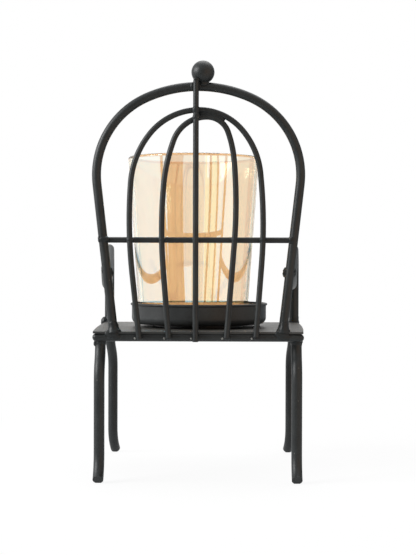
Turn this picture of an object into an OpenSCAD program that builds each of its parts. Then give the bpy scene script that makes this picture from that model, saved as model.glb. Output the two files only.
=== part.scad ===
// Chair-shaped candle holder: a welded rod chair that carries a glass cup in a pan on its seat.
// Millimetres. +Z is up, the table is z = 0, the cage back faces -Y and the open front faces +Y.

/* [Seat] */
// Width of the seat plate along its rear edge
seat_rear_w = 124.4; // [100:0.1:140]
// Width of the seat plate along its front edge
seat_front_w = 130.6; // [104:0.1:150]
// Depth of the seat plate from rear edge to front edge
seat_depth = 128; // [110:0.5:150]
// How far each side edge of the plate bows outward
side_bow = 1.2; // [0.4:0.1:3]
// Thickness of the seat plate
plate_t = 1.2; // [0.8:0.1:2]
// Height of the plate's upper face above the table
seat_h = 89.2; // [75:0.1:105]
// Diameter of the rails under the plate
rail_d = 4.7; // [3.5:0.1:6]

/* [Legs] */
// Diameter of the leg rods
leg_d = 6.4; // [4:0.1:7]
// How far the legs' outer sides stand in from the plate's corners
leg_inset = 0.4; // [0.1:0.1:3]
// Bend radius of the kicked feet
foot_bend_r = 20; // [10:0.5:24]
// Angle by which a foot kicks out from upright
foot_kick = 50; // [30:1:60]
// How far a leg steps outward below the seat, forward in front and backward at the rear
knee_step = 8; // [4:0.5:12]
// Bend radius of that step
knee_bend_r = 20; // [14:0.5:26]
// Angle by which the front legs' step turns inward
knee_turn = 10; // [0:1:15]
// Depth of the flat ground on each foot
foot_flat = 0.3; // [0.3:0.1:1]

/* [Back] */
// Diameter of the bow's rod
bow_d = 5.4; // [4:0.1:6]
// How far the bow's widest part stands out past each rear corner of the plate
bow_over = 0.9; // [0:0.1:4]
// Height of the bow's top above the table
bow_top = 236.8; // [220:0.1:250]
// Bend radius of the bow's shoulders
bow_shoulder_r = 50; // [46:0.5:54]
// Angle of each half of the bow's crown
bow_crown_a = 24; // [18:1:30]
// Angle by which the bow's legs close in towards the seat
bow_splay = 6.5; // [4:0.5:9]
// Diameter of the hoop wires, the centre rod and the cross rod
wire_d = 3.4; // [2:0.1:4]
// Clear gap between the bow and the wider hoop, both at their widest
outer_gap = 16.5; // [12:0.1:20]
// Height of the wider hoop's top above the table
outer_hoop_top = 222; // [210:0.1:228]
// Sideways place of the wider hoop's middle
outer_hoop_x = -1.8; // [-3:0.1:3]
// Sideways place of the wider hoop's crown
outer_crown_x = 0.4; // [-3:0.1:3]
// Angle by which the wider hoop's feet swing to the right about its crown
outer_lean = 1; // [-2:0.1:2]
// Clear gap between the two hoops, both at their widest
inner_gap = 14.2; // [11:0.1:18]
// Sideways place of the narrower hoop's middle
inner_hoop_x = 0.3; // [-3:0.1:3]
// Sideways place of the narrower hoop's crown
inner_crown_x = 5; // [-6:0.1:6]
// Sideways place of the centre rod
centre_rod_x = -1.5; // [-4:0.1:4]
// Height of the cross rod above the table
cross_rod_h = 143.4; // [132:0.1:156]
// Diameter of the ball
ball_d = 13.7; // [9:0.1:16]
// How deep the ball is sunk over the bow
ball_sink = 1.1; // [0:0.1:2]
// Sideways place of the ball
ball_x = 2.5; // [-4:0.1:4]

/* [Arms] */
// Diameter of the arm rods
arm_d = 6.4; // [4:0.1:7]
// How far the arms' posts stand out past the plate's front corners
arm_over = 0.5; // [0:0.1:1.5]
// Height above the table at which the arms meet the bow
arm_join_h = 125.5; // [112:0.1:130]
// Bend radius at the front of an arm
arm_knee_r = 14; // [10:0.5:18]
// Angle by which an arm falls from its front to its dip
arm_fall_a = 20; // [10:0.5:22]
// Bend radius of the dip
arm_dip_r = 66; // [30:1:80]
// Angle by which an arm rises from its dip to the bow
arm_rise_a = 25; // [20:1:36]

/* [Tray] */
// Sideways place of the tray
tray_x = -0.7; // [-3:0.1:3]
// Diameter of the tray over its wall
tray_w = 85.2; // [82:0.1:100]
// Height of the tray's rim above the plate
tray_h = 15.2; // [10:0.1:20]
// Thickness of the tray's sheet
tray_t = 1; // [0.6:0.1:1.5]
// Outer radius of the tray's bottom corner
tray_corner_r = 4; // [2.5:0.1:5]
// How far the tray's rim stands out from its wall
tray_lip = 0.8; // [0.3:0.1:1]
// Diameter of the low foot under the tray
tray_foot_w = 54; // [40:0.5:70]
// Height of that foot
tray_foot_h = 2; // [0.5:0.1:4]

/* [Glass] */
// Diameter of the glass cup at its rim
glass_rim_w = 83.7; // [76:0.1:92]
// Diameter of the glass cup at its foot
glass_foot_w = 68.5; // [60:0.1:74]
// Height of the glass cup
glass_h = 104.5; // [80:0.1:110]
// Wall thickness of the glass cup
glass_t = 2.6; // [2:0.1:3.5]
// Thickness of the glass cup's bottom
glass_floor = 6; // [4:0.1:9]
// Corner radius of the glass cup's foot
glass_corner_r = 4; // [3:0.1:6]
// Clearance on the left between the glass cup, which stands loose, and the tray's wall
glass_side_gap = 2.9; // [0.2:0.1:4]

/* [Hidden] */
$fn = 64;
paint = [0.13, 0.13, 0.13];
lustre = [0.93, 0.83, 0.72, 0.45];

// Clearance left between rods that are welded side by side
weld_gap = 0.1;
// Height and reach of the weld metal
weld_h = 5;
weld_reach = 1.8;
bead_d = 1.6;
// Hair-thin ring that keeps a rod one solid where two bends meet
ring_t = 0.2;
ring_grow = 0.02;
// How far the rear rail's domed ends pass the plate's corners
rail_end = 0.5;
// Length that is always longer than what it cuts
cut_len = 400;
// Segments of the large circles that bow the plate's sides
side_fn = 256;

rear_y = -seat_depth / 2;
front_y = seat_depth / 2;
plate_under = seat_h - plate_t;
rail_z = plate_under - rail_d / 2;
rail_under = plate_under - rail_d;
rear_rail_y = rear_y + rail_d / 2;
front_rail_y = front_y - rail_d / 2;

// Legs hang from the side rails and stand out at the plate's corners
rear_leg_x = seat_rear_w / 2 - leg_d / 2 - leg_inset;
front_leg_x = seat_front_w / 2 - leg_d / 2 - leg_inset;
knee_a = acos(1 - knee_step / (2 * knee_bend_r));
knee_drop = 2 * knee_bend_r * sin(knee_a);
stance_y = rear_rail_y;

// The bow's centre line, from the middle of its crown to one foot
bow_w = seat_rear_w + 2 * bow_over;
bow_y = rear_y + bow_d / 2;
bow_half = bow_w / 2 - bow_d / 2;
bow_crown_r = (bow_half - bow_shoulder_r * (1 - sin(bow_crown_a))) / sin(bow_crown_a);
bow_arcs = [
    [0, bow_crown_r, bow_crown_a],
    [0, bow_shoulder_r, 90 - bow_crown_a + bow_splay]
];
bow_crown_z = bow_top - bow_d / 2;
bow_leg_len = (bow_crown_z - seat_h - reach(bow_arcs)[1]) / cos(bow_splay);
bow_foot_x = reach(bow_arcs)[0] - bow_leg_len * sin(bow_splay);

// The hoops stand behind the rear rail and lean forward until their tops lie in front of the centre rod
wire_y = rear_y - wire_d / 2 - weld_gap;
hoop_foot_z = rail_z;
outer_crown_z = outer_hoop_top - wire_d / 2;
hoop_tilt = asin((wire_d + weld_gap) / (outer_crown_z - hoop_foot_z));
hoop_side_r = 300;
hoop_side_a = 5;
outer_half = bow_w / 2 - bow_d - outer_gap - wire_d / 2;
outer_shift = outer_crown_x - outer_hoop_x;
outer_shoulder = 1.25;
outer_crown_a = 50;
outer_foot_a = 5.3;
inner_half = outer_half - wire_d - inner_gap;
inner_shift = inner_crown_x - inner_hoop_x;
inner_shoulder = 3.85;
inner_crown_a = 70;
inner_foot_a = 4.6;

// The narrower hoop's crown touches the wider one's from below, on the side to which it stands off
nest_x = inner_crown_x - outer_crown_x;
nest_side = nest_x < 0 ? -1 : 1;
outer_crown_r = crown_radius(outer_half - nest_side * outer_shift, outer_crown_a, outer_shoulder);
inner_crown_r = crown_radius(inner_half - nest_side * inner_shift, inner_crown_a, inner_shoulder);
nest = outer_crown_r - inner_crown_r - wire_d - weld_gap;
outer_rise = outer_crown_z - hoop_foot_z;
inner_rise = outer_rise - outer_crown_r + inner_crown_r + sqrt(max(0, nest * nest - nest_x * nest_x));

// The centre rod passes behind the bow and ends against the ball
ball_z = bow_top + ball_d / 2 - ball_sink;
ball_dist = norm([ball_x - centre_rod_x, bow_y - wire_y]) - wire_d / 2;
rod_top = ball_z - sqrt(max(0, pow(ball_d / 2 + weld_gap, 2) - ball_dist * ball_dist));

// The cross rod touches the hoops' front and ends at the bow's legs
cross_rod_y = wire_y + (cross_rod_h - hoop_foot_z) * tan(hoop_tilt) + wire_d + weld_gap;
cross_rod_half = bow_x(cross_rod_h);

// The arms rise from the plate's front corners and end at the bow's front
arm_post_x = seat_front_w / 2 + arm_over - arm_d / 2;
arm_post_y = front_y - arm_d / 2 - weld_gap;
arm_span = norm([arm_post_x - bow_x(arm_join_h), arm_post_y - bow_y]);
arm_turn = atan2(arm_post_x - bow_x(arm_join_h), arm_post_y - bow_y);
arm_run = (arm_span - reach(arm_steps(0, 0))[1]) / cos(arm_fall_a);
arm_post_h = arm_join_h - seat_h - reach(arm_steps(0, arm_run))[0];

glass_slope = atan((glass_rim_w - glass_foot_w) / 2 / glass_h);
glass_z = seat_h + tray_foot_h + tray_t;
glass_play = tray_w / 2 - tray_t - glass_foot_w / 2 - (seat_h + tray_h - glass_z) * tan(glass_slope);
glass_x = tray_x + glass_side_gap - glass_play;

// Where a rod made of steps ends, along its first heading and across it
function reach(steps, i = 0, heading = 0) =
    i == len(steps) ? [0, 0] :
    let (
        run = steps[i][0],
        turn = steps[i][2],
        r = steps[i][1] * sign(turn),
        next = heading + turn
    )
    [
        run * cos(heading) + r * (sin(next) - sin(heading)),
        run * sin(heading) + r * (cos(heading) - cos(next))
    ] + reach(steps, i + 1, next);

// Crown radius that gives half a hoop its width; its shoulder's radius is a multiple of that width
function crown_radius(half, crown_a, shoulder) =
    (half - hoop_side_r * (1 - cos(hoop_side_a))
        - shoulder * half * (cos(hoop_side_a) - sin(crown_a))) / sin(crown_a);

// Steps of half a hoop, from its crown down to a foot that lies drop below the crown and closes in by foot_a
function hoop_steps(half, crown_a, shoulder, foot_a, drop) =
    let (
        arcs = [
            [0, crown_radius(half, crown_a, shoulder), crown_a],
            [0, shoulder * half, 90 - hoop_side_a - crown_a],
            [0, hoop_side_r, hoop_side_a + foot_a]
        ],
        left = drop - reach(arcs)[1]
    )
    concat(arcs, [[left / cos(foot_a), 0, 0]]);

// Half width of the bow's centre line at a height on its straight legs
function bow_x(z) = bow_foot_x + (z - seat_h) * tan(bow_splay);

// Steps of an arm from its foot on the plate, up, over and back to the bow
function arm_steps(post, run) = [
    [post, arm_knee_r, 90 + arm_fall_a],
    [run, arm_dip_r, -arm_fall_a - arm_rise_a],
    [arm_d, 0, 0]
];

// Steps of a leg from the rails down to its kicked foot
function leg_steps() =
    let (foot_drop = foot_bend_r * sin(foot_kick) + leg_d / 2 * sin(foot_kick) - foot_flat)
    [
        [0, knee_bend_r, knee_a],
        [0, knee_bend_r, -knee_a],
        [rail_under - knee_drop - foot_drop, foot_bend_r, foot_kick]
    ];

// A rod that starts along +Z and bends towards +X, from a list of [straight, bend radius, bend angle]
module bent_rod(d, steps, i = 0) {
    if (i < len(steps)) {
        run = steps[i][0];
        r = steps[i][1];
        turn = steps[i][2];
        side = sign(turn);
        if (run > 0) cylinder(h = run, d = d);
        if (i > 0) cylinder(h = ring_t, d = d + ring_grow, center = true);
        translate([0, 0, run]) {
            if (run > 0 && turn != 0) cylinder(h = ring_t, d = d + ring_grow, center = true);
            if (turn != 0) {
                mirror([side < 0 ? 1 : 0, 0, 0])
                    translate([r, 0, 0])
                    mirror([1, 0, 0])
                    rotate([90, 0, 0])
                    rotate_extrude(angle = abs(turn))
                    translate([r, 0])
                    circle(d = d);
            }
            translate([side * r * (1 - cos(turn)), 0, r * sin(abs(turn))])
                rotate([0, turn, 0])
                bent_rod(d, steps, i + 1);
        }
    }
}

// An arch whose crown is at the origin
module arch(d, right, left) {
    rotate([0, 90, 0]) bent_rod(d, right);
    mirror([1, 0, 0]) rotate([0, 90, 0]) bent_rod(d, left);
    rotate([0, 90, 0]) cylinder(h = ring_t, d = d + ring_grow, center = true);
}

// Copies children to the left side as well
module both_sides() {
    children();
    mirror([1, 0, 0]) children();
}

// Everything below a height
module below(z) {
    translate([-cut_len / 2, -cut_len / 2, z - cut_len]) cube(cut_len);
}

module bow() {
    half = concat(bow_arcs, [[bow_leg_len + bow_d, 0, 0]]);
    color(paint) difference() {
        translate([0, bow_y, bow_crown_z]) arch(bow_d, half, half);
        below(seat_h);
    }
}

// The room that a straight leg of the bow takes, with its clearance
module bow_leg_room() {
    translate([bow_foot_x, bow_y, seat_h])
        rotate([0, bow_splay, 0])
        cylinder(h = 2 * bow_leg_len, d = bow_d + 2 * weld_gap, center = true);
}

// A hoop whose crown stands shift to the right of its middle, turned by lean about its crown's centre
module hoop(crown_x, half, shift, crown_a, shoulder, foot_a, rise, crown_r, lean) {
    color(paint)
        translate([crown_x, wire_y, hoop_foot_z])
        rotate([-hoop_tilt, 0, 0])
        translate([0, 0, rise - crown_r])
        rotate([0, -lean, 0])
        translate([0, 0, crown_r])
        arch(wire_d,
            hoop_steps(half - shift, crown_a, shoulder, foot_a, rise),
            hoop_steps(half + shift, crown_a, shoulder, foot_a, rise));
}

module outer_hoop() {
    hoop(outer_crown_x, outer_half, outer_shift, outer_crown_a, outer_shoulder, outer_foot_a,
        outer_rise, outer_crown_r, outer_lean);
}

module inner_hoop() {
    hoop(inner_crown_x, inner_half, inner_shift, inner_crown_a, inner_shoulder, inner_foot_a,
        inner_rise, inner_crown_r, 0);
}

module centre_rod() {
    color(paint)
        translate([centre_rod_x, wire_y, rail_under])
        cylinder(h = rod_top - rail_under, d = wire_d);
}

module cross_rod() {
    color(paint) difference() {
        translate([-cross_rod_half, cross_rod_y, cross_rod_h])
            rotate([0, 90, 0])
            cylinder(h = 2 * cross_rod_half, d = wire_d);
        both_sides() bow_leg_room();
    }
}

// The ball sits over the bow's crown, which is nearly straight beneath it
module ball_finial() {
    color(paint) difference() {
        translate([ball_x, bow_y, ball_z]) sphere(d = ball_d);
        translate([ball_x, bow_y, bow_crown_z])
            rotate([0, 90, 0])
            cylinder(h = 2 * ball_d, d = bow_d + 2 * weld_gap, center = true);
    }
}

// One bowed side of the plate, as everything on the plate's side of a large circle
module side_circle() {
    chord = [seat_front_w / 2 - seat_rear_w / 2, seat_depth];
    half = norm(chord) / 2;
    r = (half * half + side_bow * side_bow) / (2 * side_bow);
    inward = [-chord[1], chord[0]] / norm(chord);
    middle = [(seat_front_w + seat_rear_w) / 4, 0];
    translate(middle + inward * (r - side_bow)) circle(r = r, $fn = side_fn);
}

module seat_plate() {
    color(paint) translate([0, 0, plate_under]) linear_extrude(plate_t) intersection() {
        translate([-seat_front_w, rear_y]) square([2 * seat_front_w, seat_depth]);
        side_circle();
        mirror([1, 0]) side_circle();
    }
}

// A rail across the seat with domed ends
module cross_rail(y, width) {
    straight = width - rail_d;
    color(paint) translate([-straight / 2, y, rail_z]) rotate([0, 90, 0]) {
        cylinder(h = straight, d = rail_d);
        sphere(d = rail_d);
        translate([0, 0, straight]) sphere(d = rail_d);
    }
}

module rear_rail() { cross_rail(rear_rail_y, seat_rear_w + 2 * rail_end); }
module front_rail() { cross_rail(front_rail_y, seat_front_w); }

// A rail along the right side of the seat, between the rear and front rails
module side_rail() {
    from = [seat_rear_w / 2 - rail_d / 2, rear_rail_y + rail_d / 2 + weld_gap];
    to = [seat_front_w / 2 - rail_d / 2, front_rail_y - rail_d / 2 - weld_gap];
    color(paint)
        translate([from[0], from[1], rail_z])
        rotate([-90, 0, atan2(from[0] - to[0], to[1] - from[1])])
        cylinder(h = norm(to - from), d = rail_d);
}

module right_rail() { side_rail(); }
module left_rail() { mirror([1, 0, 0]) side_rail(); }

module right_rear_leg() {
    color(paint) difference() {
        translate([rear_leg_x, stance_y + knee_step, rail_under])
            rotate([180, 0, -90])
            bent_rod(leg_d, leg_steps());
        below(0);
    }
}

module right_front_leg() {
    color(paint) difference() {
        translate([front_leg_x, -stance_y - knee_step, rail_under])
            rotate([180, 0, 90 + knee_turn])
            bent_rod(leg_d, leg_steps());
        below(0);
    }
}

module left_rear_leg() { mirror([1, 0, 0]) right_rear_leg(); }
module left_front_leg() { mirror([1, 0, 0]) right_front_leg(); }

module right_arm() {
    color(paint) difference() {
        translate([arm_post_x, arm_post_y, seat_h])
            rotate([0, 0, -90 - arm_turn])
            bent_rod(arm_d, arm_steps(arm_post_h, arm_run));
        bow_leg_room();
    }
}

module left_arm() { mirror([1, 0, 0]) right_arm(); }

// Half section of a pan with a rounded bottom corner
module pan_section(r, h, corner) {
    square([r - corner, h]);
    translate([0, corner]) square([r, h - corner]);
    translate([r - corner, corner]) circle(r = corner);
}

module tray() {
    r = tray_w / 2;
    pan_h = tray_h - tray_foot_h;
    color(paint) translate([tray_x, 0, seat_h + tray_foot_h]) rotate_extrude() difference() {
        union() {
            pan_section(r, pan_h, tray_corner_r);
            translate([r, pan_h - tray_lip]) circle(r = tray_lip);
            translate([0, -tray_foot_h]) square([tray_foot_w / 2, tray_foot_h + tray_t]);
        }
        translate([0, tray_t]) pan_section(r - tray_t, tray_h, tray_corner_r - tray_t);
        translate([-cut_len, -cut_len / 2]) square([cut_len, cut_len]);
    }
}

// Half section of a tapered cup with a rounded foot, cut off level at its top
module cup_section(foot_r, h, corner) {
    inset = corner / cos(glass_slope) - corner * tan(glass_slope);
    centre = [foot_r - inset, corner];
    touch = centre + corner * [cos(glass_slope), -sin(glass_slope)];
    polygon([
        [0, 0], [centre[0], 0], centre, touch, [foot_r + h * tan(glass_slope), h], [0, h]
    ]);
    intersection() {
        translate(centre) circle(r = corner);
        square([foot_r + corner, h]);
    }
}

module glass_cup() {
    foot_r = glass_foot_w / 2;
    lip_r = glass_t / 2;
    wall = glass_t / cos(glass_slope);
    body_h = glass_h - lip_r;
    inner_foot_r = foot_r - wall + glass_floor * tan(glass_slope);
    color(lustre) translate([glass_x, 0, glass_z]) rotate_extrude() {
        difference() {
            cup_section(foot_r, body_h, glass_corner_r);
            translate([0, glass_floor]) cup_section(inner_foot_r, glass_h, glass_corner_r);
        }
        translate([foot_r + body_h * tan(glass_slope) - wall / 2, body_h]) circle(r = lip_r);
    }
}

module bow_foot_welds() {
    color(paint) both_sides() difference() {
        translate([bow_foot_x, bow_y, seat_h])
            cylinder(h = weld_h, r1 = bow_d / 2 + weld_reach, r2 = bow_d / 2 + 2 * weld_gap);
        bow_leg_room();
    }
}

// A bead round the top of a leg
module leg_weld(x, y) {
    translate([x, y, rail_under - bead_d / 2]) difference() {
        rotate_extrude() translate([leg_d / 2, 0]) circle(d = bead_d);
        cylinder(h = 2 * bead_d, d = leg_d + 2 * weld_gap, center = true);
    }
}

module leg_welds() {
    color(paint) both_sides() {
        leg_weld(rear_leg_x, stance_y + knee_step);
        leg_weld(front_leg_x, -stance_y - knee_step);
    }
}

bow();
outer_hoop();
inner_hoop();
centre_rod();
cross_rod();
ball_finial();
seat_plate();
rear_rail();
front_rail();
left_rail();
right_rail();
left_rear_leg();
right_rear_leg();
left_front_leg();
right_front_leg();
left_arm();
right_arm();
tray();
glass_cup();
bow_foot_welds();
leg_welds();
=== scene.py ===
"""Looks of a chair-shaped candle holder: painted rod work, weld metal, lustre glass, studio and camera.

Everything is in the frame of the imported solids, in metres. +Z is up, the table is z = 0, the cage back faces
-Y, where the camera stands, and the open front of the chair faces +Y. Sizes in the classes are millimetres,
apart from those of the studio.
"""

import logging
import math
from dataclasses import dataclass
from enum import Enum
from typing import Optional, Sequence, Union

import bmesh
import bpy
from mathutils import Matrix, Vector, noise
from mathutils.bvhtree import BVHTree


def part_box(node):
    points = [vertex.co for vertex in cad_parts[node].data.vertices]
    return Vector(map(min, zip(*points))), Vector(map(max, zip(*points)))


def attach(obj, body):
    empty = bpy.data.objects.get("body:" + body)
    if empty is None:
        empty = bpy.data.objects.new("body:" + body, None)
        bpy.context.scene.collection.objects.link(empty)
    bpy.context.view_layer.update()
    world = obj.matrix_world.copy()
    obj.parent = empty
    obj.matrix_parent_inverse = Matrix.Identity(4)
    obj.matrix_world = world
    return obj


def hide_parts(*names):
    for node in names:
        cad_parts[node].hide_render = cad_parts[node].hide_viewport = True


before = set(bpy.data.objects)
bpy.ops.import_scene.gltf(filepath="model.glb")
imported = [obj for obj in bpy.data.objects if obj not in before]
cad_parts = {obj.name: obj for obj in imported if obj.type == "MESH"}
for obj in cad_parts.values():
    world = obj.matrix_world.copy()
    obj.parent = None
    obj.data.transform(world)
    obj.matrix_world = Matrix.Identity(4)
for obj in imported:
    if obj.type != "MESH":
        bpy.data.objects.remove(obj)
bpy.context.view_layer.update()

MM = 0.001
log = logging.getLogger("chair_candle_holder")

Colour = tuple[float, float, float, float]
Point = tuple[float, float, float]
Profile = tuple[tuple[float, float], ...]

BLACK: Colour = (0, 0, 0, 1)
WHITE: Colour = (1, 1, 1, 1)


class Side(Enum):
    """The two sides of the chair, with the sign of X on each."""

    LEFT = -1
    RIGHT = 1


class Solid:
    """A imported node, measured in millimetres.

    Attributes:
        low: Lowest corner of the node's box.
        high: Highest corner of the node's box.
        points: Points of its surface.
        tree: Search tree of its faces.
    """

    # Distance from which rays come in, and depth of the slice that counts as an end
    FAR = 500.0
    END = 1.0

    def __init__(self, node: str) -> None:
        """Reads the node's box and surface.

        Args:
            node: Name of the node.
        """
        self.low, self.high = (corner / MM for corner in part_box(node))
        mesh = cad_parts[node].data
        self.points = [vert.co / MM for vert in mesh.vertices]
        self.tree = BVHTree.FromPolygons(self.points, [tuple(face.vertices) for face in mesh.polygons])

    @property
    def middle(self) -> Vector:
        """Middle of the box."""
        return (self.low + self.high) / 2

    @property
    def size(self) -> Vector:
        """Size of the box."""
        return self.high - self.low

    def hit(self, start: Point, way: Point) -> Optional[Vector]:
        """First point of the surface on a ray, or None."""
        return self.tree.ray_cast(Vector(start), Vector(way))[0]

    def rod_x(self, side: Side, y: float, z: float) -> float:
        """Sideways place of an arched rod's middle.

        Args:
            side: The half of the arch.
            y: Depth at which the rod is met.
            z: Height at which the rod is met.

        Returns:
            The middle between the rod's inner and outer face.
        """
        s = side.value
        inner = self.hit((self.middle.x, y, z), (s, 0, 0))
        outer = self.hit((s * self.FAR, y, z), (-s, 0, 0))
        return (inner.x + outer.x) / 2

    def rear_end(self) -> Vector:
        """Middle of the surface's points that lie next to the rear."""
        near = [p for p in self.points if p.y < self.low.y + self.END]
        return sum(near, Vector()) / len(near)


class Value:
    """A shader socket that adds Math nodes when it stands in a Python expression."""

    def __init__(self, graph: "Graph", socket: bpy.types.NodeSocket) -> None:
        """Keeps the socket and the graph that it belongs to."""
        self.graph = graph
        self.socket = socket

    def _math(self, operation: str, first: "Term", second: "Term" = 0.0) -> "Value":
        """Adds one Math node and returns its result."""
        return self.graph.node("ShaderNodeMath", {"operation": operation}, {0: first, 1: second})

    def __add__(self, other: "Term") -> "Value":
        """Sum."""
        return self._math("ADD", self, other)

    def __radd__(self, other: "Term") -> "Value":
        """Sum with the value on the right."""
        return self._math("ADD", other, self)

    def __sub__(self, other: "Term") -> "Value":
        """Difference."""
        return self._math("SUBTRACT", self, other)

    def __rsub__(self, other: "Term") -> "Value":
        """Difference with the value on the right."""
        return self._math("SUBTRACT", other, self)

    def __mul__(self, other: "Term") -> "Value":
        """Product."""
        return self._math("MULTIPLY", self, other)

    def __rmul__(self, other: "Term") -> "Value":
        """Product with the value on the right."""
        return self._math("MULTIPLY", other, self)

    def above(self, limit: "Term") -> "Value":
        """1 where the value passes the limit, else 0."""
        return self._math("GREATER_THAN", self, limit)

    def larger(self, other: "Term") -> "Value":
        """The larger of two values."""
        return self._math("MAXIMUM", self, other)

    def sine(self) -> "Value":
        """Sine of an angle in radians."""
        return self._math("SINE", self)

    def turn_from(self, other: "Term") -> "Value":
        """Angle whose tangent is this value over the other."""
        return self._math("ARCTAN2", self, other)

    def step(self, low: float, high: float) -> "Value":
        """Smooth step between two limits.

        Args:
            low: Where the step is 0; it may be the larger one.
            high: Where the step is 1.

        Returns:
            A value between 0 and 1.
        """
        return self.graph.node(
            "ShaderNodeMapRange",
            {"interpolation_type": "SMOOTHSTEP", "clamp": True},
            {"Value": self, "From Min": low, "From Max": high},
        )


Term = Union[Value, float]
Input = Union[Value, float, Sequence[float]]


class Graph:
    """The node tree of a material or of the world."""

    def __init__(self, tree: bpy.types.NodeTree) -> None:
        """Takes over a tree and empties it."""
        self.tree = tree
        tree.nodes.clear()

    def node(
        self,
        kind: str,
        settings: Optional[dict[str, object]] = None,
        inputs: Optional[dict[Union[str, int], Input]] = None,
        output: Union[str, int] = 0,
    ) -> Optional[Value]:
        """Adds one node.

        Args:
            kind: Blender's type name of the node.
            settings: Attributes that are set first.
            inputs: Values or links by socket name or number.
            output: Name or number of the socket that is handed back.

        Returns:
            The chosen output, or None for a node that has none.
        """
        made = self.tree.nodes.new(kind)
        for key, setting in (settings or {}).items():
            setattr(made, key, setting)
        for key, given in (inputs or {}).items():
            if isinstance(given, Value):
                self.tree.links.new(given.socket, made.inputs[key])
            else:
                made.inputs[key].default_value = given
        return Value(self, made.outputs[output]) if made.outputs else None

    def place(self) -> Value:
        """The point in the part's own frame, in metres."""
        return self.node("ShaderNodeTexCoord", output="Object")

    def part(self, vector: Value, axis: str) -> Value:
        """One of a vector's parts."""
        return self.node("ShaderNodeSeparateXYZ", inputs={0: vector}, output=axis)

    def join(self, x: Term, y: Term, z: Term) -> Value:
        """A vector from three values."""
        return self.node("ShaderNodeCombineXYZ", inputs={0: x, 1: y, 2: z})

    def length(self, vector: Value) -> Value:
        """Length of a vector."""
        return self.node("ShaderNodeVectorMath", {"operation": "LENGTH"}, {0: vector}, output="Value")

    def noise(self, where: Value, scale: float, detail: float = 2.0, rough: float = 0.5) -> Value:
        """Fractal noise between 0 and 1."""
        sockets = {"Vector": where, "Scale": scale, "Detail": detail, "Roughness": rough}
        return self.node("ShaderNodeTexNoise", inputs=sockets)

    def cells(self, where: Value, scale: float, output: str = "Distance") -> Value:
        """Voronoi cells, as the distance to the nearest point or as the cell's random colour."""
        return self.node("ShaderNodeTexVoronoi", inputs={"Vector": where, "Scale": scale}, output=output)

    def mix(self, share: Term, first: Input, second: Input) -> Value:
        """A colour between two colours."""
        return self.node("ShaderNodeMix", {"data_type": "RGBA"}, {0: share, 6: first, 7: second}, output=2)

    def bump(self, height: Value, depth: float, strength: float) -> Value:
        """A normal that follows a height of the given depth in metres."""
        return self.node("ShaderNodeBump", inputs={"Height": height, "Distance": depth, "Strength": strength})

    def shown(self) -> Value:
        """Finds the rays that show the backdrop: from the camera, off gloss and through glass.

        Returns:
            1 for those rays, else 0.
        """
        kinds = ("Camera", "Glossy", "Transmission")
        rays = [self.node("ShaderNodeLightPath", output=f"Is {kind} Ray") for kind in kinds]
        return rays[0].larger(rays[1]).larger(rays[2])


class Finish:
    """A surface finish, which makes one material.

    Attributes:
        name: Name of the material.
    """

    name: str

    def material(self) -> bpy.types.Material:
        """Makes the material.

        Returns:
            A new material with the finish's shader on its surface.
        """
        made = bpy.data.materials.new(self.name)
        made.use_nodes = True
        graph = Graph(made.node_tree)
        graph.node("ShaderNodeOutputMaterial", inputs={"Surface": self.shader(graph)})
        return made

    def shader(self, g: Graph) -> Value:
        """Builds the shader in an empty graph."""
        raise NotImplementedError


@dataclass(frozen=True)
class BlackPaint(Finish):
    """Satin black paint over welded steel, with a fine grain and a few light specks.

    Attributes:
        name: Name of the material.
        deep: Colour of the paint where it is thick.
        thin: Colour of the paint where it is thin.
        dust_and_sheen: Colour of the specks, and of a pale tint on faces that look up, partly settled dusting
            and partly painted sheen.
        speck_share: Share of the paint's cells that hold a speck.
        dust_and_sheen_share: How strongly that pale tint, partly dusting and partly painted sheen, covers the
            grain of faces that look up.
        rough: Middle roughness.
        gloss: Specular level.
        mottle_scale: Noise scale of the uneven film, per metre.
        grain_scale: Noise scale of the grain.
        fine_scale: Noise scale of the finest grain.
        speck_scale: Scale of the cells that may hold a speck.
        grain_mm: Depth of the grain.
        grain_strength: Share of that depth which shows.
    """

    name: str = "satin_black_paint"
    deep: Colour = (0.0078, 0.0098, 0.0103, 1)
    thin: Colour = (0.0165, 0.0192, 0.0198, 1)
    dust_and_sheen: Colour = (0.110, 0.102, 0.092, 1)
    speck_share: float = 0.05
    dust_and_sheen_share: float = 0.05
    rough: float = 0.45
    gloss: float = 0.30
    mottle_scale: float = 70.0
    grain_scale: float = 1100.0
    fine_scale: float = 3800.0
    speck_scale: float = 420.0
    grain_mm: float = 0.05
    grain_strength: float = 0.35

    def shader(self, g: Graph) -> Value:
        """Builds the paint's shader.

        Args:
            g: An empty graph.

        Returns:
            The surface shader.
        """
        where = g.place()
        mottle = g.noise(where, self.mottle_scale, 3)
        grain = g.noise(where, self.grain_scale, 4, 0.6)
        fine = g.noise(where, self.fine_scale, 2)
        film = (mottle * 0.55 + grain * 0.45).step(0.32, 0.68)
        luck = g.part(g.cells(where, self.speck_scale, "Color"), "X")
        speck = g.cells(where, self.speck_scale).step(0.2, 0.08) * luck.above(1 - self.speck_share)
        # Pale tint on faces that look up: partly settled dusting, partly a painted sheen of light on the tops
        upward = g.part(g.node("ShaderNodeTexCoord", output="Normal"), "Z").step(0.4, 0.9)
        dust_and_top_sheen = ((fine * grain).step(0.2, 0.42) * upward * self.dust_and_sheen_share).larger(speck * 0.7)
        tone = g.mix(dust_and_top_sheen, g.mix(film, self.deep, self.thin), self.dust_and_sheen)
        height = grain * 0.7 + fine * 0.3 + speck * 0.6
        return g.node(
            "ShaderNodeBsdfPrincipled",
            inputs={
                "Base Color": tone,
                "Roughness": self.rough + (mottle - 0.5) * 0.16 + (grain - 0.5) * 0.12,
                "Specular IOR Level": self.gloss,
                "Normal": g.bump(height, self.grain_mm * MM, self.grain_strength),
            },
        )


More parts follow.
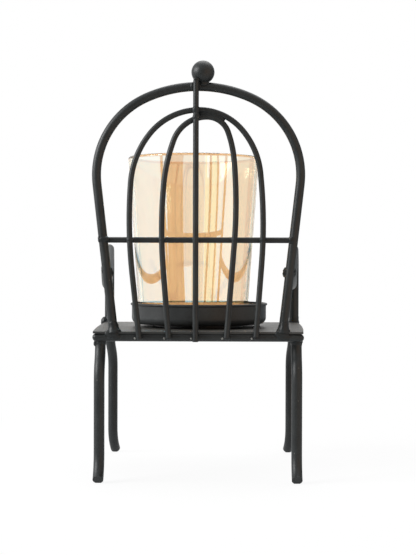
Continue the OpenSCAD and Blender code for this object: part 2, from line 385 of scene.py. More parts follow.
SATIN_PAINT = BlackPaint()
POOLED_PAINT = BlackPaint("pooled_black_paint", rough=0.42, gloss=0.22)
# Spatter drops in a light paint: the light colour is a painted glint
PAINTED_GLINT_SPATTER = BlackPaint(
    "painted_glint_spatter", deep=(0.08, 0.08, 0.075, 1), thin=(0.20, 0.195, 0.18, 1), rough=0.3, gloss=0.6
)
TRAY_PAINT = BlackPaint(
    "satin_tray_paint", deep=(0.0165, 0.0185, 0.0190, 1), thin=(0.031, 0.0338, 0.0342, 1), gloss=0.38
)
# On the seat plate that pale tint on the top is strong: partly settled dusting, partly a painted sheen of
# grazing light
SEAT_PAINT = BlackPaint(
    "dull_seat_paint", dust_and_sheen=(0.27, 0.24, 0.20, 1), dust_and_sheen_share=0.85, speck_share=0.16, rough=0.5, gloss=0.6
)


@dataclass(frozen=True)
class LustreGlass(Finish):
    """Pressed glass, amber to look through, under an outer film that reflects a cool white.

    Attributes:
        axis: Sideways place of the cup's axis in millimetres.
        foot: Height and outer radius near the cup's foot in millimetres.
        rim: Height and outer radius near the cup's rim in millimetres.
        top: Height at which the film ends below the cup's rim in millimetres.
        sill: Height of the tray's rim in millimetres.
        wall: Thickness of the cup's wall in millimetres.
        name: Name of the material.
        clear: Tint of a wall where the lustre is thin.
        amber: Tint of a wall where the lustre is thick.
        film: Colour of the film's reflection.
        edge: What is left of that reflection at a glancing angle.
        painted_glow: Colour of a painted glow, an emission that stands in for light gathered in the glass just
            below the sill.
        painted_glow_band: Depths below the sill in millimetres at which that painted glow starts, is full,
            wanes and ends.
        thread_scale: Noise scale of the glass's upright threads.
        broad_scale: Noise scale of its broad streaks.
        stretch: How fast both change over a metre of height, against once round a ring of radius 1.
    """

    axis: float
    foot: tuple[float, float]
    rim: tuple[float, float]
    top: float
    sill: float
    wall: float = 2.6
    name: str = "champagne_lustre_glass"
    clear: Colour = (0.85, 0.625, 0.435, 1)
    amber: Colour = (0.81, 0.565, 0.36, 1)
    film: Colour = (0.125, 0.335, 0.440, 1)
    edge: Colour = (0.1, 0.1, 0.1, 1)
    painted_glow: Colour = (0.26, 0.165, 0.10, 1)
    painted_glow_band: tuple[float, float, float, float] = (0.0, 1.5, 3.0, 4.5)
    thread_scale: float = 18.0
    broad_scale: float = 3.0
    stretch: float = 0.8

    def shader(self, g: Graph) -> Value:
        """Builds the glass's shader.

        Args:
            g: An empty graph.

        Returns:
            The surface shader.
        """
        where = g.place()
        across = g.part(where, "X") - self.axis * MM
        depth = g.part(where, "Y")
        height = g.part(where, "Z")
        angle = across.turn_from(0 - depth)
        ring = g.join(angle.sine(), (angle + math.pi / 2).sine(), height * self.stretch)
        thread = g.noise(ring, self.thread_scale, 2)
        broad = g.noise(ring, self.broad_scale, 1)
        thick = (thread.step(0.35, 0.75) * 0.5 + broad.step(0.4, 0.7) * 0.5) * 0.6
        slope = (self.rim[1] - self.foot[1]) / (self.rim[0] - self.foot[0])
        level = self.foot[1] - self.foot[0] * slope - self.wall / 2
        radius = g.length(g.join(across, depth, 0.0))
        filmed = height.step(self.top * MM, (self.top - 1) * MM)
        outside = (radius - height * slope).above(level * MM) * filmed
        # Painted glow: an amber emission in a band just below the sill, standing in for light gathered in the
        # glass
        start, full, wane, end = (d * MM for d in self.painted_glow_band)
        under = self.sill * MM - height
        band = under.step(start, full) * under.step(end, wane)
        glass = g.node(
            "ShaderNodeBsdfPrincipled",
            inputs={
                "Base Color": g.mix(thick, self.clear, self.amber),
                "Roughness": 0.012 + thread * 0.02,
                "IOR": 1.5,
                "Transmission Weight": 1.0,
                "Emission Color": g.mix(band * (0.2 + thread * 1.6), BLACK, self.painted_glow),
                "Emission Strength": 1.0,
            },
        )
        film = g.node(
            "ShaderNodeBsdfPrincipled",
            inputs={
                "Base Color": g.mix(outside * (0.85 + thread * 0.3), BLACK, self.film),
                "Metallic": 1.0,
                "Roughness": 0.02,
                "Specular Tint": self.edge,
            },
        )
        return g.node("ShaderNodeAddShader", inputs={0: glass, 1: film})


@dataclass(frozen=True)
class Lump:
    """A drop of weld metal.

    Attributes:
        at: Middle of the drop, counted from the spot where it is laid.
        half: Half its size along X, Y and Z.
        lean: Turn about the Y axis in degrees.
    """

    at: Point
    half: Point
    lean: float = 0.0

    def mirrored(self, x: int, y: int = 1) -> "Lump":
        """The same drop on the other side of its spot along an axis whose sign is negative."""
        return Lump((x * self.at[0], y * self.at[1], self.at[2]), self.half, x * self.lean)


@dataclass(frozen=True)
class Collar:
    """A fillet of weld metal round a rod.

    Attributes:
        at: Point on the rod's axis from which heights are counted.
        profile: Heights and radii, from below to above.
        lean: Lean of the axis to +X in degrees.
    """

    at: Point
    profile: Profile
    lean: float = 0.0


@dataclass(frozen=True)
class Seam:
    """A bead of weld metal along a path.

    Attributes:
        path: Points that the bead follows.
        half: Half its thickness.
    """

    path: tuple[Point, ...]
    half: float


class WeldMetal:
    """Gathers weld metal into one mesh with a hand-laid surface."""

    # Body that every piece of weld metal rides on, and a material slot's name
    BODY = "chair"
    SLOT = "black_paint"

    # Cuts of a drop's ball, points round a fillet and points round a bead
    LUMP_CUTS = 3
    ROUND = 36
    BEAD_ROUND = 18

    # Unevenness: share of a drop's size, millimetres on a fillet, share of a bead's thickness
    LUMP_SWELL = 0.2
    COLLAR_SWELL = 0.28
    SEAM_SWELL = 0.12

    # Scale of the unevenness per millimetre, and how much finer and weaker its second layer is
    COARSE = 0.8
    FINER = 2.3
    WEAKER = 0.5

    # A bead's ripples, and how it rounds off at its ends
    RIPPLE = 1.1
    RIPPLE_DEPTH = 0.04
    END_INSET = 0.4
    END_ROUND = 0.35

    def __init__(self, name: str) -> None:
        """Starts an empty mesh under the piece's name."""
        self.name = name
        self.bm = bmesh.new()

    @classmethod
    def _uneven(cls, point: Vector, amount: float) -> float:
        """How far the surface stands out or in at a point, for a given amount of unevenness."""
        coarse = point * cls.COARSE
        return amount * (noise.noise(coarse) + cls.WEAKER * noise.noise(coarse * cls.FINER))

    @staticmethod
    def _axes(at: Sequence[float], lean: float) -> Matrix:
        """Places a drop or a fillet at a point, leaning about the Y axis by some degrees."""
        return Matrix.Translation(at) @ Matrix.Rotation(math.radians(lean), 4, "Y")

    def lay(self, spot: Point, *drops: Lump) -> None:
        """Adds drops.

        Args:
            spot: Point from which the drops' places are counted.
            drops: The drops.
        """
        for drop in drops:
            place = self._axes([a + b for a, b in zip(spot, drop.at)], drop.lean)
            made = bmesh.ops.create_icosphere(self.bm, subdivisions=self.LUMP_CUTS, radius=1.0)
            swell = self.LUMP_SWELL * min(drop.half)
            for vert in made["verts"]:
                out = vert.co.normalized()
                point = Vector(a * b for a, b in zip(out, drop.half))
                point += out * self._uneven(place @ point, swell)
                vert.co = place @ point

    def collar(self, fillet: Collar) -> None:
        """Adds a fillet.

        Args:
            fillet: The fillet.
        """
        place = self._axes(fillet.at, fillet.lean)
        rows = []
        for height, radius in fillet.profile:
            row = []
            for k in range(self.ROUND):
                a = 2 * math.pi * k / self.ROUND
                out = Vector((math.cos(a), math.sin(a), 0))
                point = out * radius + Vector((0, 0, height))
                swell = self._uneven(place @ point, self.COLLAR_SWELL)
                row.append(self.bm.verts.new(place @ (point + out * swell)))
            rows.append(row)
        self._skin(rows)

    def seam(self, bead: Seam) -> None:
        """Adds a bead with soft ripples.

        Args:
            bead: The bead.
        """
        path = [Vector(p) for p in bead.path]
        last = len(path) - 1
        rows, run = [], 0.0
        for i, point in enumerate(path):
            ahead = (path[min(i + 1, last)] - path[max(i - 1, 0)]).normalized()
            run += (point - path[i - 1]).length if i else 0.0
            aside = ahead.cross(Vector((0, 1, 0))).normalized()
            over = aside.cross(ahead)
            share = (i + self.END_INSET) / (last + 2 * self.END_INSET)
            thick = bead.half * math.sin(math.pi * share) ** self.END_ROUND
            wave = abs(math.sin(math.pi * run / self.RIPPLE))
            thick *= 1 - self.RIPPLE_DEPTH * (1 - wave)
            row = []
            for k in range(self.BEAD_ROUND):
                a = 2 * math.pi * k / self.BEAD_ROUND
                spot = point + (aside * math.cos(a) + over * math.sin(a)) * thick
                row.append(self.bm.verts.new(spot + (spot - point) * self._uneven(spot, self.SEAM_SWELL)))
            rows.append(row)
        self._skin(rows)

    def _skin(self, rows: list[list[bmesh.types.BMVert]]) -> None:
        """Closes rings of points into a skin with capped ends.

        Args:
            rows: The rings, from one end to the other.
        """
        for low, high in zip(rows, rows[1:]):
            for k in range(len(low)):
                n = (k + 1) % len(low)
                self.bm.faces.new((low[k], low[n], high[n], high[k]))
        self.bm.faces.new(list(reversed(rows[0])))
        self.bm.faces.new(rows[-1])

    def finish(self, material: bpy.types.Material, *nodes: str) -> bpy.types.Object:
        """Turns the gathered metal into a piece.

        Args:
            material: The finish of the piece.
            nodes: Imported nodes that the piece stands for.

        Returns:
            The new object, which rides on the chair.
        """
        bmesh.ops.recalc_face_normals(self.bm, faces=self.bm.faces)
        bmesh.ops.scale(self.bm, vec=(MM, MM, MM), verts=self.bm.verts)
        mesh = bpy.data.meshes.new(self.name)
        self.bm.to_mesh(mesh)
        self.bm.free()
        mesh.polygons.foreach_set("use_smooth", [True] * len(mesh.polygons))
        mesh.materials.append(material)
        piece = bpy.data.objects.new(self.name, mesh)
        bpy.context.scene.collection.objects.link(piece)
        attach(piece, self.BODY)
        if nodes:
            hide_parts(*nodes)
        log.info("made %s with %d faces", self.name, len(mesh.polygons))
        return piece


def dress(material: bpy.types.Material, *nodes: str) -> None:
    """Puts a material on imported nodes.

    Args:
        material: The finish.
        nodes: Names of the nodes.
    """
    for node in nodes:
        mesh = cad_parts[node].data
        mesh.materials.clear()
        mesh.materials.append(material)
        log.info("dressed %s in %s", node, material.name)


@dataclass
class CageBack:
    """The arched back: bow, two hoops, centre rod, cross rod and ball.

    Attributes:
        flare: Heights and radii of the welds round the bow's feet.
        flare_shift: How far those welds have run to the right at the plate.
        foot_slice: Height above the plate at which the bow's feet are measured.
        foot_drops: Drops on the plate beside each foot.
        rail_runs: Metal under each foot that ran down over the rear rail.
        wire_drop: Drop that holds each wire's foot on the rear rail.
        spark: Little drop on the left of each of them, light in colour as a painted glint.
        knot: Weld where the cross rod meets a wire.
        knot_shift: How far every second one of those sits to the right.
        left_knots: Welds where the cross rod meets the bow on the left.
        right_knots: Welds where the cross rod meets the bow on the right.
        seam_half: Half thickness of the bead between the hoops' crowns.
        seam_gap: Widest gap between the crowns that the bead fills.
        seam_step: Distance between the bead's points.
        seam_out: How far the bead stands out behind the hoops.
        outer_tack: Weld of the centre rod under the wider hoop's crown.
        inner_tack: Weld of the centre rod under the narrower hoop's crown.
        bow_tacks: Welds of the centre rod on the bow.
        rod_cap: Metal on the centre rod's top end.
        neck: Heights and radii of the weld under the ball.
    """

    flare: Profile = (
        (-0.8, 4.4), (0.0, 4.3), (0.5, 4.0), (1.2, 3.6), (2.2, 3.3), (3.6, 3.0), (5.2, 2.8), (6.6, 2.6)
    )
    flare_shift: float = 0.3
    foot_slice: float = 0.1
    foot_drops: tuple[Lump, ...] = (
        Lump((2.2, -0.6, 0.5), (2.2, 2.0, 1.5)),
        Lump((-2.3, -1.0, 0.2), (1.7, 1.8, 1.2)),
    )
    rail_runs: tuple[Lump, ...] = (
        Lump((-0.8, 0.3, -1.4), (4.3, 1.2, 2.2)),
        Lump((0.4, 0.5, -3.3), (4.3, 1.2, 2.2)),
    )
    wire_drop: Lump = Lump((0.3, -0.2, 0.9), (2.0, 1.1, 1.5))
    spark: Lump = Lump((-2.5, -0.5, 0.4), (0.65, 0.6, 0.65))
    knot: Lump = Lump((0.0, -0.2, 0.0), (2.1, 1.8, 2.1))
    knot_shift: float = 0.2
    left_knots: tuple[Lump, ...] = (
        Lump((0.6, -1.2, 0.2), (3.4, 2.1, 2.2)),
        Lump((-2.0, -1.2, 0.5), (1.1, 1.4, 2.3)),
    )
    right_knots: tuple[Lump, ...] = (Lump((-1.2, -1.3, 0.0), (2.4, 2.0, 2.3)),)
    seam_half: float = 1.55
    seam_gap: float = 1.5
    seam_step: float = 0.5
    seam_out: float = 0.3
    outer_tack: Lump = Lump((0.0, -0.6, -2.0), (2.2, 1.4, 3.0))
    inner_tack: Lump = Lump((0.2, -0.6, -2.0), (2.1, 1.35, 3.0))
    bow_tacks: tuple[Lump, ...] = (
        Lump((-2.1, -2.6, -0.2), (1.4, 0.9, 2.2)),
        Lump((2.0, -2.5, 0.4), (1.1, 0.9, 1.8)),
    )
    rod_cap: Lump = Lump((0.4, 0.5, 1.0), (1.95, 1.7, 1.6))
    neck: Profile = ((-2.4, 3.8), (-1.0, 3.7), (-0.2, 3.4), (0.4, 3.3), (0.9, 3.4), (1.4, 3.5))

    def __post_init__(self) -> None:
        """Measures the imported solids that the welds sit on."""
        self.bow, self.outer, self.inner = Solid("bow"), Solid("outer_hoop"), Solid("inner_hoop")
        self.rod, self.cross, self.ball = Solid("centre_rod"), Solid("cross_rod"), Solid("ball_finial")
        self.plate = Solid("seat_plate")
        self.wire_r = self.rod.size.x / 2
        self.bow_r = self.bow.size.y / 2

    def build(self, paint: bpy.types.Material, glint_paint: bpy.types.Material) -> None:
        """Makes the weld metal of the back.

        Args:
            paint: Finish of the welds.
            glint_paint: Finish of the spatter, whose light colour is a painted glint.
        """
        self._bow_feet(paint)
        self._wire_feet("wire_foot_drops", self.wire_drop, paint)
        self._wire_feet("wire_foot_spatter", self.spark, glint_paint)
        self._crossings(paint)
        self._crown(paint)

    def dress(self, paint: bpy.types.Material) -> None:
        """Dresses the rods and the ball."""
        dress(paint, "bow", "outer_hoop", "inner_hoop", "centre_rod", "cross_rod", "ball_finial")

    def _hoop_y(self, z: float) -> float:
        """Depth of the hoops' plane, which leans forward from the wires' feet, at a height."""
        lean = self.outer.high.y - self.outer.low.y - 2 * self.wire_r
        return self.rod.middle.y + lean * (z - self.outer.low.z) / self.outer.size.z

    def _wires_at(self, z: float) -> list[float]:
        """Finds the five upright wires at a height.

        Args:
            z: The height.

        Returns:
            Their sideways places, from left to right.
        """
        y = self._hoop_y(z)
        hoops = [hoop.rod_x(side, y, z) for hoop in (self.outer, self.inner) for side in Side]
        return sorted(hoops + [self.rod.middle.x])

    def _bow_feet(self, paint: bpy.types.Material) -> None:
        """Makes the flared welds round the bow's feet, which run down over the rear rail.

        Args:
            paint: Finish of the welds.
        """
        metal = WeldMetal("bow_foot_fillets")
        y, seat, rear = self.bow.middle.y, self.plate.high.z, self.plate.low.y
        high = self.flare[-1][0]
        for side in Side:
            foot, above = (self.bow.rod_x(side, y, seat + h) for h in (self.foot_slice, high))
            splay = math.degrees(math.atan2(above - foot - self.flare_shift, high))
            metal.collar(Collar((foot + self.flare_shift, y, seat), self.flare, splay))
            metal.lay((foot, y, seat), *self.foot_drops)
            metal.lay((foot, rear, seat), *self.rail_runs)
        metal.finish(paint, "bow_foot_welds")

    def _wire_feet(self, name: str, drop: Lump, finish: bpy.types.Material) -> None:
        """Lays a drop at the foot of each wire, on the rear rail.

        Args:
            name: Name of the piece.
            drop: The drop.
            finish: Finish of the drops.
        """
        metal = WeldMetal(name)
        low = self.outer.low.z
        for x in self._wires_at(low + self.wire_r):
            metal.lay((x, self.plate.low.y, low), drop)
        metal.finish(finish)

    def _crossings(self, paint: bpy.types.Material) -> None:
        """Makes the welds where the cross rod meets the wires and the bow.

        Args:
            paint: Finish of the welds.
        """
        metal = WeldMetal("cross_rod_welds")
        z = self.cross.middle.z
        for i, x in enumerate(self._wires_at(z)):
            metal.lay((x + self.knot_shift * (i % 2), self._hoop_y(z), z), self.knot)
        y = self.bow.middle.y
        for side, knots in zip(Side, (self.left_knots, self.right_knots)):
            metal.lay((self.bow.rod_x(side, y, z), y, z), *knots)
        metal.finish(paint)

    def _seam_path(self) -> tuple[Point, ...]:
        """Finds the way between the two crowns, from the centre rod to where their gap grows too wide.

        Returns:
            The path's points, from left to right.
        """
        path: list[Point] = []
        x = self.rod.middle.x
        outer_y, inner_y = (self._hoop_y(hoop.high.z) for hoop in (self.outer, self.inner))
        while x < self.inner.high.x:
            under = self.outer.hit((x, outer_y, self.inner.middle.z), (0, 0, 1))
            over = self.inner.hit((x, inner_y, self.outer.high.z), (0, 0, -1))
            if under.z - over.z > self.seam_gap and len(path) > 2:
                break
            z = (under.z + over.z) / 2
            path.append((x, self._hoop_y(z) - self.seam_out, z))
            x += self.seam_step
        return tuple(path)

    def _crown(self, paint: bpy.types.Material) -> None:
        """Makes the welds of the hoops' crowns, the centre rod's top and the ball's neck.

        Args:
            paint: Finish of the welds.
        """
        metal = WeldMetal("crown_welds")
        metal.seam(Seam(self._seam_path(), self.seam_half))
        x, y = self.rod.middle.x, self.rod.middle.y
        top, bow_y = self.bow.high.z, self.bow.middle.y
        metal.lay((x, y, self.outer.high.z), self.outer_tack)
        metal.lay((x, y, self.inner.high.z), self.inner_tack)
        metal.lay((x, bow_y, top - self.bow_r), *self.bow_tacks)
        metal.lay((x, y, top), self.rod_cap)
        metal.collar(Collar((self.ball.middle.x, bow_y, top), self.neck))
        metal.finish(paint)


@dataclass
class Seat:
    """The seat plate and the rails under it.

    Attributes:
        corner: Tack where two rails meet, X outward and Y inward.
        side_tack: Tack of the plate on a side rail, X outward.
        side_shares: Places of those along the side rails, as shares of their length.
        end_tack: Tack of the plate on the front or rear rail, Y inward.
        end_places: Sideways places of those on the rear rail.
        front_shift: How far those on the front rail sit to the left of them.
        seam_half: Half thickness of the bead under the plate's rear edge.
        seam_in: How far that bead stops short of the rear rail's ends.
        seam_drop: Depth of the bead's middle under the plate.
        seam_steps: Number of steps along the bead.
    """

    corner: Lump = Lump((-0.6, 2.4, 0.0), (2.1, 1.5, 2.0))
    side_tack: Lump = Lump((-2.0, 0.0, -0.7), (1.3, 3.2, 0.95))
    side_shares: tuple[float, ...] = (0.28, 0.62)
    end_tack: Lump = Lump((0.0, 2.0, -0.7), (3.4, 1.3, 0.95))
    end_places: tuple[float, ...] = (-30.0, 6.0, 36.0)
    front_shift: float = 5.0
    seam_half: float = 0.95
    seam_in: float = 1.4
    seam_drop: float = 0.8
    seam_steps: int = 140

    def build(self, paint: bpy.types.Material) -> None:
        """Makes the tacks and the seam that hold plate and rails together.

        Args:
            paint: Finish of the welds.
        """
        metal = WeldMetal("rail_tacks")
        plate, rear, front, rail = (Solid(n) for n in ("seat_plate", "rear_rail", "front_rail", "right_rail"))
        under, r = plate.low.z, rear.size.z / 2
        ends = ((rear.middle.y, rail.low.x + r, 1), (front.middle.y, rail.high.x - r, -1))
        for side in Side:
            s = side.value
            for y, x, way in ends:
                metal.lay((s * x, y, under - r), self.corner.mirrored(s, way))
            for share in self.side_shares:
                y, x, _ = (a + (b - a) * share for a, b in zip(*ends))
                metal.lay((s * x, y, under), self.side_tack.mirrored(s))
        for x in self.end_places:
            metal.lay((x, rear.middle.y, under), self.end_tack)
            metal.lay((x - self.front_shift, front.middle.y, under), self.end_tack.mirrored(1, -1))
        half = rear.size.x / 2 - self.seam_in
        y, z = rear.low.y + self.seam_half, under - self.seam_drop
        shares = (k / self.seam_steps for k in range(self.seam_steps + 1))
        metal.seam(Seam(tuple((half * (2 * share - 1), y, z) for share in shares), self.seam_half))
        metal.finish(paint)

    def dress(self, paint: bpy.types.Material, top: bpy.types.Material) -> None:
        """Dresses the rails, and the plate in its duller paint."""
        dress(paint, "rear_rail", "front_rail", "left_rail", "right_rail")
        dress(top, "seat_plate")


@dataclass
class Legs:
    """The four bent legs.

    Attributes:
        fillet: Heights of the welds at the legs' tops, and how far they stand out from the legs.
        dab: Extra metal on the outside of each weld, X outward.
        left_dab: More of it under the left rear weld.
    """

    fillet: Profile = ((-3.4, -0.3), (-2.6, 0.05), (-1.4, 0.25), (-0.4, 0.4), (0.5, 0.2), (1.6, -0.7))
    dab: Lump = Lump((2.4, -1.2, 0.2), (1.4, 1.8, 1.8))
    left_dab: Lump = Lump((-2.7, -0.8, -1.6), (1.4, 1.8, 1.8))

    def build(self, paint: bpy.types.Material) -> None:
        """Makes the welds between the legs and the rails.

        Args:
            paint: Finish of the welds.
        """
        metal = WeldMetal("leg_fillets")
        rear, front, rail = Solid("right_rear_leg"), Solid("right_front_leg"), Solid("rear_rail")
        r, z = rear.size.x / 2, rail.low.z
        profile = tuple((height, r + out) for height, out in self.fillet)
        rear_top, front_top = (rear.middle.x, rear.high.y - r), (front.high.x - r, front.low.y + r)
        for side in Side:
            for x, y in (rear_top, front_top):
                spot = (side.value * x, y, z)
                metal.collar(Collar(spot, profile))
                metal.lay(spot, self.dab.mirrored(side.value))
        metal.lay((-rear_top[0], rear_top[1], z), self.left_dab)
        metal.finish(paint, "leg_welds")

    def dress(self, paint: bpy.types.Material) -> None:
        """Dresses the legs."""
        dress(paint, "left_rear_leg", "right_rear_leg", "left_front_leg", "right_front_leg")


@dataclass
class Arms:
    """The two bent arms, of the same rod as the legs.

    Attributes:
        fillet: Heights of the welds at the arms' feet, and how far they stand out from the arms.
        slim: Share of that on the right foot, whose weld is slight.
        spill: Metal that ran over the plate's edge at the left foot.
        right_dabs: Metal at the right arm's end on the bow.
        left_dabs: Metal at the left arm's end on the bow.
    """

    fillet: Profile = ((-0.4, 1.7), (0.2, 1.4), (0.9, 0.9), (2.0, 0.45), (3.3, 0.15), (4.4, -0.2))
    slim: float = 0.25
    spill: Lump = Lump((-3.2, -1.8, 0.5), (2.5, 2.2, 3.2), 14.0)
    right_dabs: tuple[Lump, ...] = (
        Lump((-2.6, 1.4, 0.2), (1.5, 1.9, 3.2), 7.0),
        Lump((2.3, 1.8, 0.0), (1.5, 1.9, 3.2), 7.0),
    )
    left_dabs: tuple[Lump, ...] = (
        Lump((2.2, 1.8, 0.0), (1.5, 1.9, 3.2), -7.0),
        Lump((-1.9, 1.0, 1.5), (1.5, 1.9, 3.2), -7.0),
    )

    def build(self, paint: bpy.types.Material) -> None:
        """Makes the welds at the arms' feet and ends.

        Args:
            paint: Finish of the welds.
        """
        metal = WeldMetal("arm_welds")
        arm, bow = Solid("right_arm"), Solid("bow")
        r = Solid("right_rear_leg").size.x / 2
        x, y, z = arm.high.x - r, arm.high.y - r, arm.low.z
        for side, share in ((Side.LEFT, 1.0), (Side.RIGHT, self.slim)):
            profile = tuple((height, r + out * share) for height, out in self.fillet)
            metal.collar(Collar((side.value * x, y, z), profile))
        metal.lay((-x, y, z), self.spill)
        y, z = bow.middle.y, arm.rear_end().z
        for side, dabs in ((Side.RIGHT, self.right_dabs), (Side.LEFT, self.left_dabs)):
            metal.lay((bow.rod_x(side, y, z), y, z), *dabs)
        metal.finish(paint)

    def dress(self, paint: bpy.types.Material) -> None:
        """Dresses the arms."""
        dress(paint, "left_arm", "right_arm")


@dataclass
class CupAndTray:
    """The tray on the seat and the loose glass cup in it.

    Attributes:
        low_share: Share of the cup's height at which its taper is measured below.
        high_share: Share of the cup's height at which its taper is measured above.
        bare_rim: Height of the rim that has no film.
    """

    low_share: float = 0.2
    high_share: float = 0.9
    bare_rim: float = 1.2

    def lustre(self) -> LustreGlass:
        """Fits the cup's finish to its taper.

        Returns:
            The finish.
        """
        cup = Solid("glass_cup")
        x = cup.middle.x
        ends = []
        for share in (self.low_share, self.high_share):
            z = cup.low.z + share * cup.size.z
            ends.append((z, cup.hit((Solid.FAR, 0, z), (-1, 0, 0)).x - x))
        return LustreGlass(x, *ends, cup.high.z - self.bare_rim, Solid("tray").high.z)

    def dress(self, paint: bpy.types.Material) -> None:
        """Dresses tray and cup."""
        dress(paint, "tray")
        dress(self.lustre().material(), "glass_cup")


@dataclass(frozen=True)
class WhiteFloor(Finish):
    """A floor that looks white and keeps a soft shadow round the part. Sizes here are metres.

    Attributes:
        name: Name of the material.
        tone: Colour of the floor under light.
        near_glow: Share of plain white in what shows of it beside the part.
        clear: Distances from the part between which that share grows to the whole.
    """

    name: str = "white_floor"
    tone: Colour = (0.9, 0.9, 0.9, 1)
    near_glow: float = 0.90
    clear: tuple[float, float] = (0.08, 0.3)

    def shader(self, g: Graph) -> Value:
        """Builds the floor's shader.

        Args:
            g: An empty graph.

        Returns:
            The surface shader.
        """
        lit = g.node("ShaderNodeBsdfDiffuse", inputs={"Color": self.tone})
        glow = g.node("ShaderNodeEmission", inputs={"Color": WHITE, "Strength": 1.0})
        far = g.length(g.place()).step(*self.clear)
        share = g.shown() * (self.near_glow + (1 - self.near_glow) * far)
        return g.node("ShaderNodeMixShader", inputs={0: share, 1: lit, 2: glow})


@dataclass(frozen=True)
class Card(Finish):
    """An upright card that shows only in reflections. Sizes here are metres.

    Attributes:
        name: Name of the card.
        bearing: Direction from the part in degrees, 0 towards the camera and positive to its right.
        spread: Angle in degrees that the card takes up as seen from the part.
        glow: Colour that it shows.
        low: Height of its lower edge.
        high: Height of its upper edge.
        reach: Distance from the part.
    """

    name: str
    bearing: float
    spread: float
    glow: Colour
    low: float = 0.001
    high: float = 0.5
    reach: float = 0.45

    def shader(self, g: Graph) -> Value:
        """Builds the card's shader."""
        return g.node("ShaderNodeEmission", inputs={"Color": self.glow, "Strength": 1.0})

    def corners(self) -> list[Point]:
        """Works out where the card stands.

        Returns:
            Its four corners in turn.
        """
        a = math.radians(self.bearing)
        half = self.reach * math.tan(math.radians(self.spread / 2))
        out = Vector((math.sin(a), -math.cos(a), 0)) * self.reach
        aside = Vector((math.cos(a), math.sin(a), 0)) * half
        low, high = Vector((0, 0, self.low)), Vector((0, 0, self.high))
        spots = (out - aside + low, out + aside + low, out + aside + high, out - aside + high)
        return [tuple(spot) for spot in spots]


@dataclass(frozen=True)
class Lamp:
    """A flat soft lamp. Sizes here are metres.

    Attributes:
        name: Name of the lamp.
        place: Where the lamp hangs.
        size: Its width and height.
        power: Its power in watts.
    """

    name: str
    place: Point
    size: tuple[float, float]
    power: float


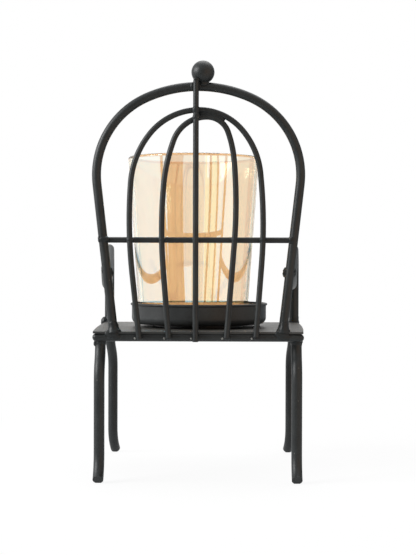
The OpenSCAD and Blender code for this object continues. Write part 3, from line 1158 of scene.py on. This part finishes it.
@dataclass
class Studio:
    """Pale floor, soft lamps, reflection cards and the camera. Sizes here are metres.

    Attributes:
        eye: Where the camera stands.
        focal_px: Focal length in pixels of the picture.
        picture: Width and height of the picture in pixels.
        yaw: Turn of the camera to the left in degrees.
        pitch: Tilt of the camera downward in degrees.
        roll: Roll of the camera in degrees.
        sensor: Width of the camera's sensor in millimetres.
        clip: Nearest and farthest distance that the camera sees.
        floor_half: Half the floor's side.
        fill: Strength of the surround's light on the part.
        aim: Point that the lamps face.
        lamps: The lamps.
        cards: The cards round the part.
    """

    eye: Point = (0.0162, -0.890, 0.1328)
    focal_px: float = 1400.0
    picture: tuple[int, int] = (416, 555)
    yaw: float = 0.72
    pitch: float = 0.798
    roll: float = 0.15
    sensor: float = 36.0
    clip: tuple[float, float] = (0.01, 30.0)
    floor_half: float = 6.0
    fill: float = 0.36
    aim: Point = (0.0, 0.0, 0.12)
    lamps: tuple[Lamp, ...] = (
        Lamp("key_lamp", (-1.03, -0.38, 0.62), (0.7, 0.45), 18.0),
        Lamp("top_lamp", (0.1, 0.35, 1.1), (0.9, 0.9), 7.0),
    )
    cards: tuple[Card, ...] = (
        Card("shade_card", -32.0, 29.6, (0.03, 0.03, 0.03, 1)),
        Card("left_grey_card", -10.0, 14.0, (0.56, 0.56, 0.52, 1), low=0.065),
        Card("middle_card", 8.0, 22.0, (0.75, 0.65, 0.55, 1)),
        Card("warm_card", 32.0, 24.0, (1.50, 1.00, 0.60, 1)),
        Card("cream_card", 62.0, 36.0, (1.25, 1.04, 0.94, 1)),
        Card("right_grey_card", 96.0, 32.0, (0.62, 0.60, 0.53, 1)),
        Card("dim_card", 131.0, 38.0, (0.28, 0.32, 0.36, 1)),
        Card("hot_spot_card", 27.0, 8.0, (2.4, 1.4, 1.1, 1), low=0.147, high=0.17, reach=0.44),
    )

    def build(self) -> None:
        """Makes the floor, the world, the lamps, the cards and the camera."""
        s = self.floor_half
        self._sheet("floor", [(-s, -s, 0), (s, -s, 0), (s, s, 0), (-s, s, 0)], WhiteFloor())
        self._world()
        for lamp in self.lamps:
            self._lamp(lamp)
        for card in self.cards:
            sheet = self._sheet(card.name, card.corners(), card)
            sheet.visible_camera = sheet.visible_diffuse = False
            sheet.visible_shadow = sheet.visible_transmission = False
        self._camera()
        bpy.context.scene.view_settings.view_transform = "Standard"

    @staticmethod
    def _sheet(name: str, corners: Sequence[Point], finish: Finish) -> bpy.types.Object:
        """Makes a flat four-cornered stage piece.

        Args:
            name: Name of the piece.
            corners: Its corners in turn.
            finish: Its finish.

        Returns:
            The new object.
        """
        mesh = bpy.data.meshes.new(name)
        mesh.from_pydata(corners, [], [(0, 1, 2, 3)])
        mesh.materials.append(finish.material())
        sheet = bpy.data.objects.new(name, mesh)
        bpy.context.scene.collection.objects.link(sheet)
        return sheet

    def _world(self) -> None:
        """Makes a white surround whose light on the part is plain."""
        world = bpy.data.worlds.new("surround")
        bpy.context.scene.world = world
        world.use_nodes = True
        g = Graph(world.node_tree)
        seen = g.node("ShaderNodeBackground", inputs={"Color": WHITE, "Strength": 1.0})
        light = g.node("ShaderNodeBackground", inputs={"Color": WHITE, "Strength": self.fill})
        both = g.node("ShaderNodeMixShader", inputs={0: g.shown(), 1: light, 2: seen})
        g.node("ShaderNodeOutputWorld", inputs={"Surface": both})

    def _lamp(self, lamp: Lamp) -> None:
        """Hangs a lamp that faces the part and does not sparkle inside the glass.

        Args:
            lamp: The lamp.
        """
        data = bpy.data.lights.new(lamp.name, "AREA")
        data.shape = "RECTANGLE"
        data.size, data.size_y = lamp.size
        data.energy = lamp.power
        hung = bpy.data.objects.new(lamp.name, data)
        hung.visible_transmission = False
        hung.location = lamp.place
        facing = Vector(self.aim) - Vector(lamp.place)
        hung.rotation_euler = facing.to_track_quat("-Z", "Y").to_euler()
        bpy.context.scene.collection.objects.link(hung)

    def _camera(self) -> None:
        """Sets the camera up at the photograph's place."""
        data = bpy.data.cameras.new("camera")
        data.sensor_width = self.sensor
        data.lens = self.focal_px / max(self.picture) * self.sensor
        data.clip_start, data.clip_end = self.clip
        camera = bpy.data.objects.new("camera", data)
        turn = (
            Matrix.Rotation(math.radians(self.yaw), 4, "Z")
            @ Matrix.Rotation(math.radians(90 - self.pitch), 4, "X")
            @ Matrix.Rotation(math.radians(self.roll), 4, "Z")
        )
        camera.matrix_world = Matrix.Translation(self.eye) @ turn
        bpy.context.scene.collection.objects.link(camera)
        bpy.context.scene.camera = camera


def main() -> None:
    """Builds the whole scene."""
    logging.basicConfig(level=logging.INFO, format="%(name)s: %(message)s")
    paint, pooled, glint_paint = SATIN_PAINT.material(), POOLED_PAINT.material(), PAINTED_GLINT_SPATTER.material()
    pan, top = TRAY_PAINT.material(), SEAT_PAINT.material()
    back, seat, legs, arms, cup = CageBack(), Seat(), Legs(), Arms(), CupAndTray()
    back.build(pooled, glint_paint)
    for assembly in (seat, legs, arms):
        assembly.build(pooled)
    back.dress(paint)
    seat.dress(paint, top)
    legs.dress(paint)
    arms.dress(paint)
    cup.dress(pan)
    Studio().build()


if __name__ == "__main__":
    main()
